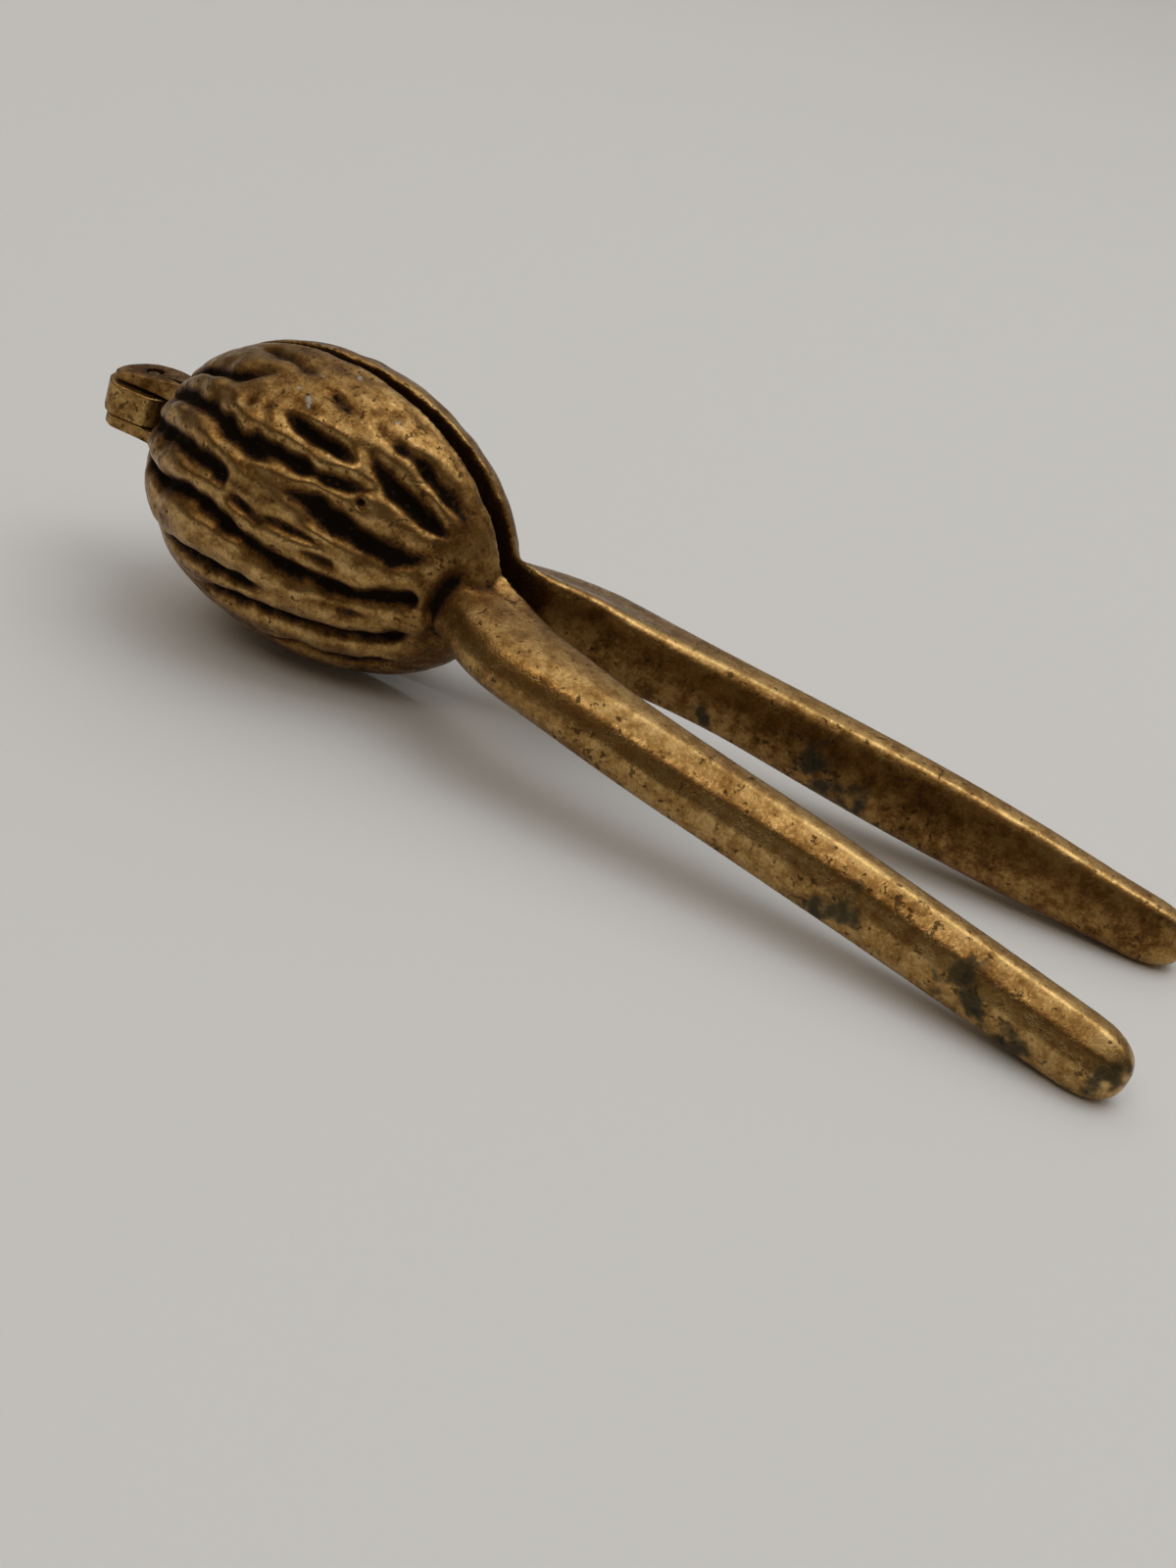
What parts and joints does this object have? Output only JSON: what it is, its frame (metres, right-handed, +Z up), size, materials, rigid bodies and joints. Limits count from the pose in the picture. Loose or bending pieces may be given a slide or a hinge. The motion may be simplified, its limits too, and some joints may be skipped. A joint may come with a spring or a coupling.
{
  "type": "lever nutcracker",
  "caption": "Walnut-shaped lever nutcracker: hinged bronze shell halves drawn out into handles, swinging on a pin to crack a nut held in their hollows.",
  "frame": {"origin": "middle of the base of the object's box, as it lies at rest with the jaws slightly open, so the ground is z = 0", "axes": "+X from the hinge to the handle tips, +Y from the fork half to the tongue half, +Z up; the hinge axis leans about 8 degrees from +Z towards +X because the handle tips lie on the ground"},
  "size_m": [0.159, 0.0394, 0.0412],
  "materials": {
    "worn_bronze": "cast bronze, handled bright on the ridges and brown to black in the furrows",
    "dark_pin": "cut pin with a brown tarnish"
  },
  "bodies": {
    "fork_half": {"fork_jaw": "worn_bronze", "hinge_pin": "dark_pin"},
    "tongue_half": {"tongue_jaw": "worn_bronze"}
  },
  "joints": [
    {"name": "jaw_hinge", "type": "hinge", "parent": "fork_half", "child": "tongue_half", "pos_m": [-0.07352, 0, 0.02521], "axis": [0.1437, 0, 0.9896], "range_deg": [-3.5, 110]}
  ]
}
